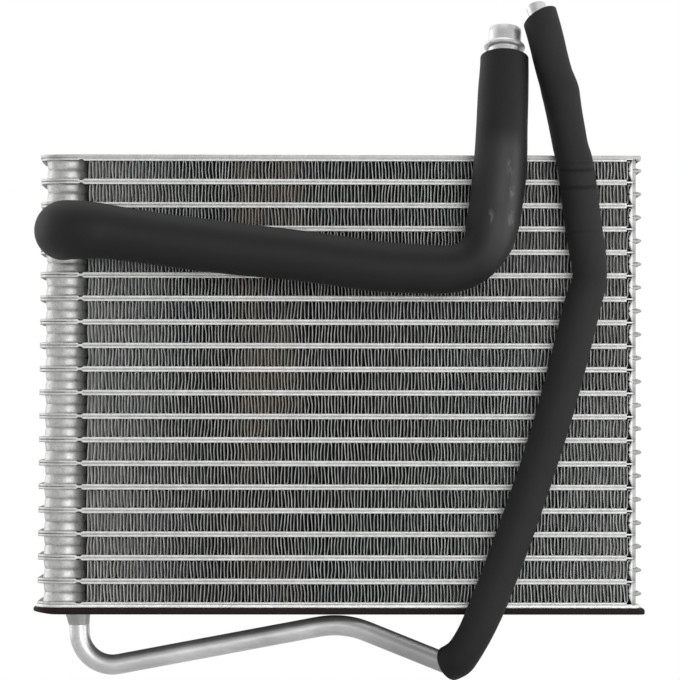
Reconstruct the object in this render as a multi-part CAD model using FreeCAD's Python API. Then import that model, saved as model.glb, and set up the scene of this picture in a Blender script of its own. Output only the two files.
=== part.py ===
import FreeCAD, Part
import math
import os

# Evaporator core of a vehicle air conditioner: drawn plates brazed in pairs, folded fins
# between them, an end plate above and below, and two pipes in foam sleeves.
# Millimetres. X runs along the plates to the right, Y from the front face to the back, Z up.
# The origin is the centre of the foam pad's underside, on which the core stands in its case.

# Stack of plates and fins
FIN_ROWS = 19
PLATE_PITCH = 11.4
CORE_WIDTH = 289.3
CORE_DEPTH = 74.0
SHEET = 0.5
CHANNEL_HALF_HEIGHT = 1.4
CHANNEL_END_SLOPE = 0.5
CORNER_STEPS = 3
RIGHT_CORNER = 1.6

# Drawn cups, two on each side of a plate pair, that stack up into the front and rear tank
CUP_RADIUS = 10.1
CUP_DRAFT = 1.0
CUP_STEPS = 4
RIM_MARGIN = 3.0
CUP_GAP = 5.0
CHANNEL_REACH = 2.5
NECK_LENGTH = 2.2

# Folded lip at the right end of each plate, with a foot that meets the next plate's foot
LIP_WALL = 2.2
LIP_LEAN = 1.8
CHANNEL_TO_LIP = 2.7
FOOT_LENGTH = 2.3
FOOT_ROOT = 0.9
FOOT_TIP = 0.35

# Folded fins
FIN_FOLDS = 24
FIN_SHEET = 0.3
FIN_INSET = 1.0
FIN_SIDE_CLEARANCE = 0.5

# End plates and the foam pad
TOP_PLATE = 1.7
TOP_CURL_DROP = 2.6
TOP_CURL_SHEET = 1.3
BOTTOM_PLATE = 1.5
END_PLATE_OVERHANG = 0.5
PLATE_END_REACH = 2.1
PLATE_RIGHT_CORNER = 4.0
PAD_THICKNESS = 3.0
PAD_SIDE_OVERHANG = 2.0
PAD_FRONT_OVERHANG = 1.0
PAD_BEVEL_LENGTH = 7.0
PAD_BEVEL_DROP = 1.8

# Suction line: the pipe, its port on the front tank, its beaded end and its foam sleeve
SUCTION_RADIUS = 7.94
SUCTION_WALL = 1.24
SUCTION_BORE_DEPTH = 30.0
SPIGOT_STEP = 1.44
SPIGOT_LENGTH = 6.0
SPIGOT_CLEARANCE = 0.1
PORT_LAYERS_DOWN = 3
PORT_BELOW_LAYER = 2.3
COLLAR_THICKNESS = 2.0
COLLAR_WALL = 3.0
BEAD_HEIGHT = 2.06
BEAD_THICKNESS = 3.4
BEAD_TO_END = 7.6
SUCTION_FOAM_WALLS = [6.26, 6.26, 4.86, 3.96, 4.16, 4.56, 3.56]
SUCTION_FOAM_TO_END = 13.6
FOAM_CLEARANCE = 0.1

# Suction line's route: out of the port, along the core's face, then up past its top
PORT_STRAIGHT = 2.5
ELBOW_RADIUS = 18.5
SUCTION_FALL_START = 24.5
SUCTION_FALL_END = 160.0
SUCTION_RISE = 207.5
SUCTION_EARLY_FALL = 0.9
SUCTION_FALL = 18.8
SUCTION_DRIFT = 2.0
SUCTION_LEAN_START = 8.8
SUCTION_LEAN_BACK = 5.7
SUCTION_END_HEIGHT = 59.8
SUCTION_END_BACK = 24.2
SUCTION_END_ASIDE = 4.7
SUCTION_RISE_RADIUS = 29.0
SUCTION_GENTLE_RADII = [120.0, 250.0, 60.0]

# Liquid line: the pipe under the pad, its port collar and its foam sleeve
LIQUID_RADIUS = 4.76
LIQUID_WALL = 0.96
LIQUID_BORE_DEPTH = 7.0
LIQUID_COLLAR_WALL = 0.49
LIQUID_COLLAR_DROP = 5.7
LIQUID_FLARE_HEIGHT = 3.6
LIQUID_FLARE_WIDTH = 0.75
SOCKET_CLEARANCE = 0.05
PORT_CLEARANCE = 0.1
LIQUID_SOCKET_DEPTH = 4.0
LIQUID_FOAM_WALLS = [4.14, 4.14, 4.04, 4.14, 4.24, 3.64, 3.64, 3.64]
LIQUID_END_LENGTH = 5.5
LIQUID_FOAM_GAP = 0.5
LIQUID_FOAM_LEAD = 0.5

# Liquid line's route: down from the port, along under the pad, forward, then up the core's face
LIQUID_PORT_OFFSET = 5.3
LIQUID_DROP = 27.9
LIQUID_CREST = 134.4
LIQUID_CREST_INSET = 7.0
LIQUID_CREST_LIFT = 1.06
LIQUID_ELBOW = 191.0
LIQUID_ELBOW_DROP = 25.9
LIQUID_STAND_OFF = 12.0
LIQUID_LOWER_BEND = [214.8, 2.4]
LIQUID_MIDDLE_BEND = [237.3, 1.1]
LIQUID_UPPER_BEND = [253.3, 5.2]
LIQUID_TOP_BEND = [244.1, 2.5]
LIQUID_TIP_BEND = [230.5, 61.5]
LIQUID_TIP = [227.5, 71.5]
LIQUID_TIP_BACK = 9.0
LIQUID_TURN_BACK = 6.0
LIQUID_PORT_RADIUS = 16.0
LIQUID_CREST_RADIUS = 40.0
LIQUID_ELBOW_RADIUS = 9.6
LIQUID_GENTLE_RADII = [120.0, 120.0, 40.0, 80.0]
LIQUID_TIP_RADIUS = 14.0

# Flat faces round each tube and in each of its bends
BEND_STEP = 22.5
SUCTION_PIPE_STEPS = 12
SUCTION_FOAM_STEPS = 18
SUCTION_FOAM_BORE_STEPS = 10
LIQUID_PIPE_STEPS = 12
LIQUID_FOAM_STEPS = 14
LIQUID_FOAM_BORE_STEPS = 8

# Places worked out from the sizes above
LEFT = -CORE_WIDTH / 2
RIGHT = CORE_WIDTH / 2
FRONT = -CORE_DEPTH / 2
BACK = CORE_DEPTH / 2
CUP_HEIGHT = PLATE_PITCH / 2
STACK_BASE = PAD_THICKNESS + BOTTOM_PLATE
STACK_TOP = STACK_BASE + FIN_ROWS * PLATE_PITCH
CORE_TOP = STACK_TOP + TOP_PLATE
TANK_X = LEFT + RIM_MARGIN + CUP_RADIUS
RIM_CORNER = RIM_MARGIN + CUP_RADIUS
CUP_LENGTH = (CORE_DEPTH - 2 * RIM_MARGIN - CUP_GAP) / 2
FRONT_CUP_Y = FRONT + RIM_MARGIN + CUP_LENGTH / 2
CHANNEL_LEFT = TANK_X + CUP_RADIUS - CHANNEL_REACH
LAND_RIGHT = CHANNEL_LEFT - NECK_LENGTH
LIP_INNER = RIGHT - LIP_WALL
CHANNEL_RIGHT = LIP_INNER - CHANNEL_TO_LIP
FIN_LEFT = TANK_X + CUP_RADIUS + FIN_SIDE_CLEARANCE
FIN_RIGHT = LIP_INNER - LIP_LEAN - FIN_SIDE_CLEARANCE
PORT_Z = STACK_TOP - PORT_LAYERS_DOWN * PLATE_PITCH - PORT_BELOW_LAYER
SPIGOT_RADIUS = SUCTION_RADIUS - SPIGOT_STEP
LIQUID_PORT_X = TANK_X + LIQUID_PORT_OFFSET
LIQUID_COLLAR_END = LIQUID_RADIUS + LIQUID_COLLAR_WALL
LIQUID_COLLAR_TOP = LIQUID_COLLAR_END + LIQUID_FLARE_WIDTH
LIQUID_FOAM_TO_END = LIQUID_END_LENGTH + LIQUID_FOAM_GAP


def vector(x, y, z):
    return FreeCAD.Vector(x, y, z)


def save(name, shape):
    if not shape.isValid():
        raise ValueError(name + " is not a valid shape")
    shape.exportStep("parts/" + name + ".step")


def joint_height(layer):
    """Height of the plane in which the two plates of a layer meet."""
    return STACK_BASE + layer * PLATE_PITCH


# Outlines and prisms

def closed_wire(points):
    return Part.makePolygon(points + [points[0]])


def prism_up(outline, low, high):
    """Solid over a flat outline of (x, y) points between two heights."""
    points = [vector(x, y, low) for x, y in outline]
    return Part.Face(closed_wire(points)).extrude(vector(0, 0, high - low))


def prism_back(profile, front, back):
    """Solid that carries an (x, z) profile from the front to the back."""
    points = [vector(x, front, z) for x, z in profile]
    return Part.Face(closed_wire(points)).extrude(vector(0, back - front, 0))


def corner_points(x, y, radius, start, steps):
    """Points of a quarter turn about (x, y), from a start angle in degrees."""
    turn = [math.radians(start + 90.0 * i / steps) for i in range(steps + 1)]
    return [(x + radius * math.cos(a), y + radius * math.sin(a)) for a in turn]


def stadium(x, y, radius, length, steps):
    """Slot outline with its round ends to the front and the back."""
    reach = length / 2 - CUP_RADIUS
    points = []
    for side, start in ((1, 0), (-1, 180)):
        for i in range(steps + 1):
            a = math.radians(start + 180.0 * i / steps)
            points.append((x + radius * math.cos(a), y + side * reach + radius * math.sin(a)))
    return points


def flat_band(one, other):
    """Flat faces between two parallel loops with the same number of points."""
    faces = []
    for i in range(len(one)):
        j = (i + 1) % len(one)
        faces.append(Part.Face(closed_wire([one[i], one[j], other[j], other[i]])))
    return faces


def closed_solid(faces):
    shell = Part.Shell(faces)
    shell.sewShape()
    solid = Part.Solid(shell)
    if solid.Volume < 0:
        solid.reverse()
    return solid


# Drawn plates

def rim_outline():
    """Thin rim from inside the tank's land to the right end."""
    right = [(RIGHT - RIGHT_CORNER, FRONT), (RIGHT, FRONT + RIGHT_CORNER)]
    right += [(RIGHT, BACK - RIGHT_CORNER), (RIGHT - RIGHT_CORNER, BACK)]
    return [(TANK_X, BACK), (TANK_X, FRONT)] + right


def tank_land(side):
    """Raised land that carries the two cups and ends at the neck before the channel."""
    reach = LEFT + RIM_CORNER
    slope = CHANNEL_END_SLOPE
    outline = corner_points(reach, BACK - RIM_CORNER, RIM_CORNER, 90, CORNER_STEPS)
    outline += corner_points(reach, FRONT + RIM_CORNER, RIM_CORNER, 180, CORNER_STEPS)
    outline += [(LAND_RIGHT, FRONT), (LAND_RIGHT, BACK)]
    bevel = prism_back(
        [
            (LAND_RIGHT, side * SHEET),
            (LAND_RIGHT, side * CHANNEL_HALF_HEIGHT),
            (LAND_RIGHT - slope, side * CHANNEL_HALF_HEIGHT),
        ],
        FRONT,
        BACK,
    )
    return prism_up(outline, 0, side * CHANNEL_HALF_HEIGHT).cut(bevel)


def cup(y, base, tip):
    """Drawn cup with its draft, from the rim to where it meets the next plate's cup."""
    loops = []
    for height, radius in ((base, CUP_RADIUS), (tip, CUP_RADIUS - CUP_DRAFT)):
        outline = stadium(TANK_X, y, radius, CUP_LENGTH, CUP_STEPS)
        loops.append([vector(px, py, height) for px, py in outline])
    return closed_solid(flat_band(loops[0], loops[1]) + [Part.Face(closed_wire(p)) for p in loops])


def lip_profile(side):
    """Lip that turns away from the joint plane and ends in a foot."""
    tip = CUP_HEIGHT
    profile = [
        (LIP_INNER, 0),
        (LIP_INNER, SHEET),
        (LIP_INNER - LIP_LEAN, tip - FOOT_ROOT),
        (LIP_INNER - LIP_LEAN, tip),
        (RIGHT + FOOT_LENGTH, tip),
        (RIGHT + FOOT_LENGTH, tip - FOOT_TIP),
        (RIGHT, tip - FOOT_ROOT),
        (RIGHT, 0),
    ]
    return [(x, side * z) for x, z in profile]


def drawn_plate(side):
    """Plate drawn upward (side 1) or downward (side -1) from the joint plane at height 0."""
    rim = prism_up(rim_outline(), 0, side * SHEET)
    channel = prism_back(
        [
            (CHANNEL_LEFT, 0),
            (CHANNEL_LEFT, side * SHEET),
            (CHANNEL_LEFT + CHANNEL_END_SLOPE, side * CHANNEL_HALF_HEIGHT),
            (CHANNEL_RIGHT - CHANNEL_END_SLOPE, side * CHANNEL_HALF_HEIGHT),
            (CHANNEL_RIGHT, side * SHEET),
            (CHANNEL_RIGHT, 0),
        ],
        FRONT,
        BACK,
    )
    lip = prism_back(lip_profile(side), FRONT + RIGHT_CORNER, BACK - RIGHT_CORNER)
    cups = [cup(y, 0, side * CUP_HEIGHT) for y in (FRONT_CUP_Y, -FRONT_CUP_Y)]
    return rim.multiFuse([tank_land(side), channel, lip] + cups).removeSplitter()


def port_hole():
    """Hole in the front tank that takes the suction pipe's spigot."""
    depth = RIM_MARGIN + SPIGOT_LENGTH
    start = vector(TANK_X, FRONT - RIM_MARGIN, PORT_Z)
    return Part.makeCylinder(SPIGOT_RADIUS + SPIGOT_CLEARANCE, depth, start, vector(0, 1, 0))


def with_port(plate, low, high):
    """Cut the suction port where a layer reaches it."""
    reach = SPIGOT_RADIUS + SPIGOT_CLEARANCE
    if high <= PORT_Z - reach or low >= PORT_Z + reach:
        return plate
    return plate.cut(port_hole())


def plate_pair():
    """Two drawn plates brazed rim to rim, as one solid about height 0."""
    return drawn_plate(1).fuse(drawn_plate(-1)).removeSplitter()


# Fins

def fin_row():
    """Sheet folded to and fro between two plates, with its lower creases at height 0."""
    height = PLATE_PITCH - 2 * CHANNEL_HALF_HEIGHT
    step = (FIN_RIGHT - FIN_LEFT) / FIN_FOLDS
    upper = []
    lower = []
    for i in range(FIN_FOLDS + 1):
        x = FIN_LEFT + i * step
        crest = height if i % 2 else FIN_SHEET
        upper.append((x, crest))
        lower.append((x, crest - FIN_SHEET))
    return prism_back(upper + lower[::-1], FRONT + FIN_INSET, BACK - FIN_INSET)


# End plates and pad

def end_outline(right_over, side_over, left_over):
    """End plate or pad outline: the rim's outline with an overhang on each side."""
    radius = RIM_CORNER + left_over
    x0 = LEFT - left_over + radius
    x1 = RIGHT + right_over - PLATE_RIGHT_CORNER
    y0 = FRONT - side_over
    y1 = BACK + side_over
    points = corner_points(x1, y1 - PLATE_RIGHT_CORNER, PLATE_RIGHT_CORNER, 0, CORNER_STEPS)
    points += corner_points(x0, y1 - radius, radius, 90, CORNER_STEPS)
    points += corner_points(x0, y0 + radius, radius, 180, CORNER_STEPS)
    points += corner_points(x1, y0 + PLATE_RIGHT_CORNER, PLATE_RIGHT_CORNER, 270, CORNER_STEPS)
    return points


def liquid_port_hole():
    """Hole through the pad and the lower end plate for the liquid pipe's collar."""
    radius = (LIQUID_COLLAR_TOP + PORT_CLEARANCE) / math.cos(math.pi / LIQUID_PIPE_STEPS)
    return turned(
        vector(LIQUID_PORT_X, FRONT_CUP_Y, -1),
        vector(0, 0, 1),
        [(0, radius), (STACK_BASE + 1, radius)],
        LIQUID_PIPE_STEPS,
    )


def top_end_plate():
    """Flat plate whose right end curls down over the last lip."""
    outline = end_outline(PLATE_END_REACH, 0, END_PLATE_OVERHANG)
    plate = prism_up(outline, STACK_TOP, CORE_TOP)
    edge = RIGHT + PLATE_END_REACH
    curl = prism_back(
        [
            (edge - TOP_CURL_SHEET, STACK_TOP),
            (edge, STACK_TOP),
            (edge, STACK_TOP - TOP_CURL_DROP),
            (edge - TOP_CURL_SHEET, STACK_TOP - TOP_CURL_DROP),
        ],
        FRONT + PLATE_RIGHT_CORNER,
        BACK - PLATE_RIGHT_CORNER,
    )
    shoulder = prism_back(
        [(edge - TOP_PLATE, CORE_TOP), (edge, CORE_TOP), (edge, CORE_TOP - TOP_PLATE)],
        FRONT,
        BACK,
    )
    return plate.fuse(curl).cut(shoulder).removeSplitter()


def bottom_end_plate():
    outline = end_outline(PLATE_END_REACH, 0, END_PLATE_OVERHANG)
    return prism_up(outline, PAD_THICKNESS, STACK_BASE).cut(liquid_port_hole())


def foam_pad():
    """Pad glued under the lower end plate, with a bevelled left end."""
    left_over = END_PLATE_OVERHANG + PAD_SIDE_OVERHANG
    outline = end_outline(PLATE_END_REACH + PAD_SIDE_OVERHANG, PAD_FRONT_OVERHANG, left_over)
    pad = prism_up(outline, 0, PAD_THICKNESS)
    edge = LEFT - left_over
    bevel = prism_back(
        [(edge, 0), (edge, PAD_BEVEL_DROP), (edge + PAD_BEVEL_LENGTH, 0)],
        FRONT - PAD_FRONT_OVERHANG,
        BACK + PAD_FRONT_OVERHANG,
    )
    return pad.cut(bevel).cut(liquid_port_hole())


# Bent tubes: straight runs joined by tangent arcs, with a radius given at each point

def loop_around(centre, across, along, radius, steps):
    """Points of a regular outline square to a run."""
    beside = along.cross(across)
    points = []
    for i in range(steps):
        a = 2 * math.pi * i / steps
        points.append(centre + across * (radius * math.cos(a)) + beside * (radius * math.sin(a)))
    return points


def start_across(along):
    """A direction square to a run, level where the run isn't upright."""
    across = along.cross(vector(0, 0, 1))
    if across.Length < 0.1:
        across = along.cross(vector(0, 1, 0))
    return across.normalize()


def route_loops(points, bends, radii, steps):
    """Outlines along a route, at the ends of each run and at even steps through each bend.

    points are the route's ends and corners, bends the arc's radius at each corner, and radii
    the tube's own radius at each point.
    """
    along = (points[1] - points[0]).normalize()
    across = start_across(along)
    loops = [loop_around(points[0], across, along, radii[0], steps)]
    for corner, bend, radius, after in zip(points[1:-1], bends, radii[1:-1], points[2:]):
        ahead = (after - corner).normalize()
        turn = along.getAngle(ahead)
        here = corner - along * (bend * math.tan(turn / 2))
        axis = along.cross(ahead).normalize()
        centre = here + axis.cross(along) * bend
        count = max(1, round(math.degrees(turn) / BEND_STEP))
        spin = FreeCAD.Rotation(axis, math.degrees(turn) / count)
        loops.append(loop_around(here, across, along, radius, steps))
        for step in range(count):
            here = centre + spin.multVec(here - centre)
            across = spin.multVec(across)
            along = spin.multVec(along)
            loops.append(loop_around(here, across, along, radius, steps))
    loops.append(loop_around(points[-1], across, along, radii[-1], steps))
    return loops


def skin(loops):
    faces = []
    for one, other in zip(loops, loops[1:]):
        faces += flat_band(one, other)
    return faces


def rod(loops):
    ends = [Part.Face(closed_wire(loop)) for loop in (loops[0], loops[-1])]
    return closed_solid(skin(loops) + ends)


def tube(outside, inside):
    caps = []
    for i in (0, -1):
        wires = [closed_wire(outside[i]), closed_wire(inside[i])]
        caps.append(Part.makeFace(wires, "Part::FaceMakerBullseye"))
    return closed_solid(skin(outside) + skin(inside) + caps)


def turned(start, along, stations, steps):
    """Straight body given by (distance, radius) stations along its axis."""
    across = start_across(along)
    return rod([loop_around(start + along * d, across, along, r, steps) for d, r in stations])


def sleeve(points, bends, radii, steps, bore, bore_steps):
    """Foam sleeve whose bore's flats clear the pipe."""
    widened = bore / math.cos(math.pi / bore_steps)
    outside = route_loops(points, bends, radii, steps)
    inside = route_loops(points, bends, [widened] * len(points), bore_steps)
    return tube(outside, inside)


def shortened(points, start, end):
    """The same route with its first and last run cut back by a length."""
    first = points[0] + (points[1] - points[0]).normalize() * start
    last = points[-1] + (points[-2] - points[-1]).normalize() * end
    return [first] + points[1:-1] + [last]


# Suction line

def suction_route():
    """Out of the front tank, along the core's face, up past its top and back over it."""
    out = FRONT - PORT_STRAIGHT - ELBOW_RADIUS
    low = PORT_Z - SUCTION_FALL
    rise = TANK_X + SUCTION_RISE
    face = out - SUCTION_DRIFT
    lean = CORE_TOP + SUCTION_LEAN_START
    end = CORE_TOP + SUCTION_END_HEIGHT
    return [
        vector(TANK_X, FRONT, PORT_Z),
        vector(TANK_X, out, PORT_Z),
        vector(TANK_X + SUCTION_FALL_START, out, PORT_Z - SUCTION_EARLY_FALL),
        vector(TANK_X + SUCTION_FALL_END, face, low),
        vector(rise, face, low),
        vector(rise + SUCTION_END_ASIDE / 2, face + SUCTION_LEAN_BACK, lean),
        vector(rise + SUCTION_END_ASIDE, face + SUCTION_END_BACK, end),
    ]


def suction_bends():
    first, second, last = SUCTION_GENTLE_RADII
    return [ELBOW_RADIUS, first, second, SUCTION_RISE_RADIUS, last]


def suction_pipe():
    """Pipe with a spigot in the tank, a bead and a plain round end for the hose fitting."""
    route = suction_route()
    end = route[-1]
    inward = (route[-2] - end).normalize()
    bead_back = BEAD_TO_END + BEAD_THICKNESS
    body_route = shortened(route, 0, bead_back)
    radii = [SUCTION_RADIUS] * len(route)
    body = rod(route_loops(body_route, suction_bends(), radii, SUCTION_PIPE_STEPS))
    spigot = turned(
        vector(TANK_X, FRONT, PORT_Z),
        vector(0, 1, 0),
        [(0, SPIGOT_RADIUS), (SPIGOT_LENGTH, SPIGOT_RADIUS)],
        SUCTION_PIPE_STEPS,
    )
    slope = BEAD_THICKNESS / 3
    shoulder = SUCTION_RADIUS + BEAD_HEIGHT / 2
    crown = SUCTION_RADIUS + BEAD_HEIGHT
    bead = turned(
        end + inward * BEAD_TO_END,
        inward,
        [(0, shoulder), (slope, crown), (2 * slope, crown), (BEAD_THICKNESS, shoulder)],
        SUCTION_FOAM_STEPS,
    )
    round_end = Part.makeCylinder(SUCTION_RADIUS, BEAD_TO_END, end, inward)
    inner = SUCTION_RADIUS - SUCTION_WALL
    bore = Part.makeCylinder(inner, SUCTION_BORE_DEPTH, end, inward)
    return body.multiFuse([spigot, bead, round_end]).cut(bore)


def suction_collar():
    """Ring brazed to the tank's front rims around the pipe."""
    out = vector(0, -1, 0)
    start = vector(TANK_X, FRONT, PORT_Z)
    bore = (SUCTION_RADIUS + SOCKET_CLEARANCE) / math.cos(math.pi / SUCTION_PIPE_STEPS)
    rings = []
    for radius in (SUCTION_RADIUS + COLLAR_WALL, bore):
        loops = []
        for place in (start, start + out * COLLAR_THICKNESS):
            loops.append(loop_around(place, vector(1, 0, 0), out, radius, SUCTION_PIPE_STEPS))
        rings.append(loops)
    return tube(rings[0], rings[1])


def suction_sleeve():
    route = shortened(suction_route(), COLLAR_THICKNESS, SUCTION_FOAM_TO_END)
    bore = SUCTION_RADIUS + FOAM_CLEARANCE
    radii = [SUCTION_RADIUS + wall for wall in SUCTION_FOAM_WALLS]
    return sleeve(
        route, suction_bends(), radii, SUCTION_FOAM_STEPS, bore, SUCTION_FOAM_BORE_STEPS
    )


# Liquid line

def liquid_route():
    """Down from the front tank, along under the pad, forward, then up the core's face."""
    crest = LIQUID_CREST_LIFT - LIQUID_RADIUS
    face = FRONT - LIQUID_STAND_OFF
    tip_y = face + LIQUID_TIP_BACK
    return [
        vector(LIQUID_PORT_X, FRONT_CUP_Y, LIQUID_SOCKET_DEPTH - LIQUID_COLLAR_DROP),
        vector(LIQUID_PORT_X, FRONT_CUP_Y, -LIQUID_DROP),
        vector(TANK_X + LIQUID_CREST, FRONT + LIQUID_CREST_INSET, crest),
        vector(TANK_X + LIQUID_ELBOW, face - 1, -LIQUID_ELBOW_DROP),
        vector(TANK_X + LIQUID_LOWER_BEND[0], face, joint_height(LIQUID_LOWER_BEND[1])),
        vector(
            TANK_X + LIQUID_MIDDLE_BEND[0], face, joint_height(FIN_ROWS / 2 - LIQUID_MIDDLE_BEND[1])
        ),
        vector(TANK_X + LIQUID_UPPER_BEND[0], face, joint_height(FIN_ROWS - LIQUID_UPPER_BEND[1])),
        vector(TANK_X + LIQUID_TOP_BEND[0], face + 1, CORE_TOP + LIQUID_TOP_BEND[1]),
        vector(TANK_X + LIQUID_TIP_BEND[0], tip_y, CORE_TOP + LIQUID_TIP_BEND[1]),
        vector(TANK_X + LIQUID_TIP[0], tip_y + LIQUID_TURN_BACK, CORE_TOP + LIQUID_TIP[1]),
    ]


def liquid_bends():
    gentle = LIQUID_GENTLE_RADII
    return [LIQUID_PORT_RADIUS, LIQUID_CREST_RADIUS, LIQUID_ELBOW_RADIUS] + gentle + [LIQUID_TIP_RADIUS]


def liquid_pipe():
    """Bare pipe under the pad that goes on inside its sleeve, with a plain round end."""
    route = liquid_route()
    end = route[-1]
    inward = (route[-2] - end).normalize()
    radii = [LIQUID_RADIUS] * len(route)
    body_route = shortened(route, 0, LIQUID_END_LENGTH)
    body = rod(route_loops(body_route, liquid_bends(), radii, LIQUID_PIPE_STEPS))
    round_end = Part.makeCylinder(LIQUID_RADIUS, LIQUID_END_LENGTH, end, inward)
    inner = LIQUID_RADIUS - LIQUID_WALL
    bore = Part.makeCylinder(inner, LIQUID_BORE_DEPTH, end, inward)
    return body.fuse(round_end).cut(bore)


def liquid_collar():
    """Flared collar that carries the pipe through the pad and the lower end plate."""
    start = vector(LIQUID_PORT_X, FRONT_CUP_Y, -LIQUID_COLLAR_DROP)
    up = vector(0, 0, 1)
    outer = [
        (0, LIQUID_COLLAR_END),
        (LIQUID_COLLAR_DROP - LIQUID_FLARE_HEIGHT, LIQUID_COLLAR_END),
        (LIQUID_COLLAR_DROP, LIQUID_COLLAR_TOP),
        (LIQUID_COLLAR_DROP + STACK_BASE, LIQUID_COLLAR_TOP),
    ]
    socket = (LIQUID_RADIUS + SOCKET_CLEARANCE) / math.cos(math.pi / LIQUID_PIPE_STEPS)
    bore = [(0, socket), (LIQUID_SOCKET_DEPTH, socket)]
    body = turned(start, up, outer, LIQUID_PIPE_STEPS)
    return body.cut(turned(start, up, bore, LIQUID_PIPE_STEPS))


def liquid_sleeve():
    """Foam from the forward elbow to just short of the pipe's upper end."""
    route = liquid_route()[2:]
    turn = (route[1] - route[0]).getAngle(route[2] - route[1])
    arc_start = LIQUID_ELBOW_RADIUS * math.tan(turn / 2)
    run = (route[1] - route[0]).Length
    cut = shortened(route, run - arc_start - LIQUID_FOAM_LEAD, LIQUID_FOAM_TO_END)
    bore = LIQUID_RADIUS + FOAM_CLEARANCE
    radii = [LIQUID_RADIUS + wall for wall in LIQUID_FOAM_WALLS]
    return sleeve(
        cut, liquid_bends()[2:], radii, LIQUID_FOAM_STEPS, bore, LIQUID_FOAM_BORE_STEPS
    )


def build():
    os.makedirs("parts", exist_ok=True)
    pair = plate_pair()
    for layer in range(1, FIN_ROWS):
        z = joint_height(layer)
        body = pair.copy()
        body.translate(vector(0, 0, z))
        save("plate_pair_%02d" % layer, with_port(body, z - CUP_HEIGHT, z + CUP_HEIGHT))

    bottom = drawn_plate(1)
    bottom.translate(vector(0, 0, STACK_BASE))
    save("bottom_drawn_plate", bottom)
    top = drawn_plate(-1)
    top.translate(vector(0, 0, STACK_TOP))
    save("top_drawn_plate", top)

    fins = fin_row()
    for row in range(FIN_ROWS):
        body = fins.copy()
        body.translate(vector(0, 0, joint_height(row) + CHANNEL_HALF_HEIGHT))
        save("fin_row_%02d" % (row + 1), body)

    save("top_end_plate", top_end_plate())
    save("bottom_end_plate", bottom_end_plate())
    save("foam_pad", foam_pad())
    save("suction_pipe", suction_pipe())
    save("suction_collar", suction_collar())
    save("suction_sleeve", suction_sleeve())
    save("liquid_pipe", liquid_pipe())
    save("liquid_collar", liquid_collar())
    save("liquid_sleeve", liquid_sleeve())


build()
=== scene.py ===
import math
from contextlib import contextmanager

import bmesh
import bpy
from bpy.props import FloatProperty, FloatVectorProperty, IntProperty, PointerProperty
from mathutils import Matrix, Vector


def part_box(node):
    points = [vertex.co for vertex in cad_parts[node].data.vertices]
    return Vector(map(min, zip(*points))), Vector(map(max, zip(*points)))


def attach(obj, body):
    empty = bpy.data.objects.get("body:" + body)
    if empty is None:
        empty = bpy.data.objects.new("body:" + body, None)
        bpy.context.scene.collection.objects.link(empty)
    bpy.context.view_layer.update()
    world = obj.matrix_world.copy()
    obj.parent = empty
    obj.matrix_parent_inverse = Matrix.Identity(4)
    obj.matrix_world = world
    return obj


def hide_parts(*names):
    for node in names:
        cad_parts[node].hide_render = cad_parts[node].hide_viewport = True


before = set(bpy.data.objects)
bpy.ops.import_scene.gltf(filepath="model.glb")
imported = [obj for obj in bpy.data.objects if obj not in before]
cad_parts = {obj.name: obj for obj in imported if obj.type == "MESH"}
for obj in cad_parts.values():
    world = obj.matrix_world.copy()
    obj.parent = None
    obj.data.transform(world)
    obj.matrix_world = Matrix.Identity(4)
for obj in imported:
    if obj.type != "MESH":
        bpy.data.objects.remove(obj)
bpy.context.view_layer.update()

bl_info = {
    "name": "Evaporator core",
    "version": (1, 0, 0),
    "blender": (4, 5, 0),
    "location": "3D View > Sidebar > Evaporator",
    "description": "Models the plates, fins, pipes and foam of an evaporator core",
    "category": "Add Mesh",
}

MM = 0.001

# The stack of drawn plates and fins, as the frame has it
PAIRS = ["plate_pair_%02d" % n for n in range(1, 19)]
FINS = ["fin_row_%02d" % n for n in range(1, 20)]
PAIR_LOW, PAIR_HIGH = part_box(PAIRS[0])
FIN_LOW, FIN_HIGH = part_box(FINS[0])
PITCH = PAIR_HIGH.z - PAIR_LOW.z
FRONT = PAIR_LOW.y
BACK = PAIR_HIGH.y
LEFT = PAIR_LOW.x
RIGHT = -LEFT
FIRST_JOINT = PAIR_LOW.z - PITCH / 2
LAST_JOINT = FIRST_JOINT + PITCH * len(FINS)
CORE_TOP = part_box("top_end_plate")[1].z

# Places along a drawn plate, from its tank end to its lip
LAND_CORNER = 13.1 * MM
TANK_X = LEFT + LAND_CORNER
LAND_RIGHT = LEFT + 18.5 * MM
CHANNEL_LEFT = LEFT + 20.7 * MM
CHANNEL_RIGHT = RIGHT - 4.9 * MM
STRIP_LEFT = RIGHT - 1.8 * MM

# How the tank end of the stack leans and how its topmost layers are squeezed
LEAN_OF_LOWEST = -1.1 * MM
LEAN_PER_LAYER = 0.09 * MM
LEAN_LIFT = 0.3 * MM
SQUEEZED_ABOVE = 13
SQUEEZE_PER_LAYER = 0.095 * MM


# Sizes and colours that a user would change

def length(name, description, default):
    """A length property whose default is given in millimetres."""
    return FloatProperty(
        name=name, description=description, default=default * MM, unit="LENGTH")


def swatch(name, description, default):
    return FloatVectorProperty(
        name=name, description=description, default=default, subtype="COLOR",
        size=3, min=0, max=1)


class PlateSizes(bpy.types.PropertyGroup):
    """Sizes of a drawn plate."""
    half_height: length("Half height", "From the joint to a channel's outer face", 1.4)
    rim_height: length("Rim", "Thickness of the bare rim at the neck", 0.40)
    joint_gap: length("Joint", "Half the seam between two plates", 0.11)
    land_round: length("Land edge", "Rounding of the tank land's edge", 0.5)
    channel_round: length("Channel edge", "Rounding of the channel's edge", 0.28)
    color: swatch("Plate colour", "Satin brazed aluminium", (0.62, 0.62, 0.61))


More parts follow.
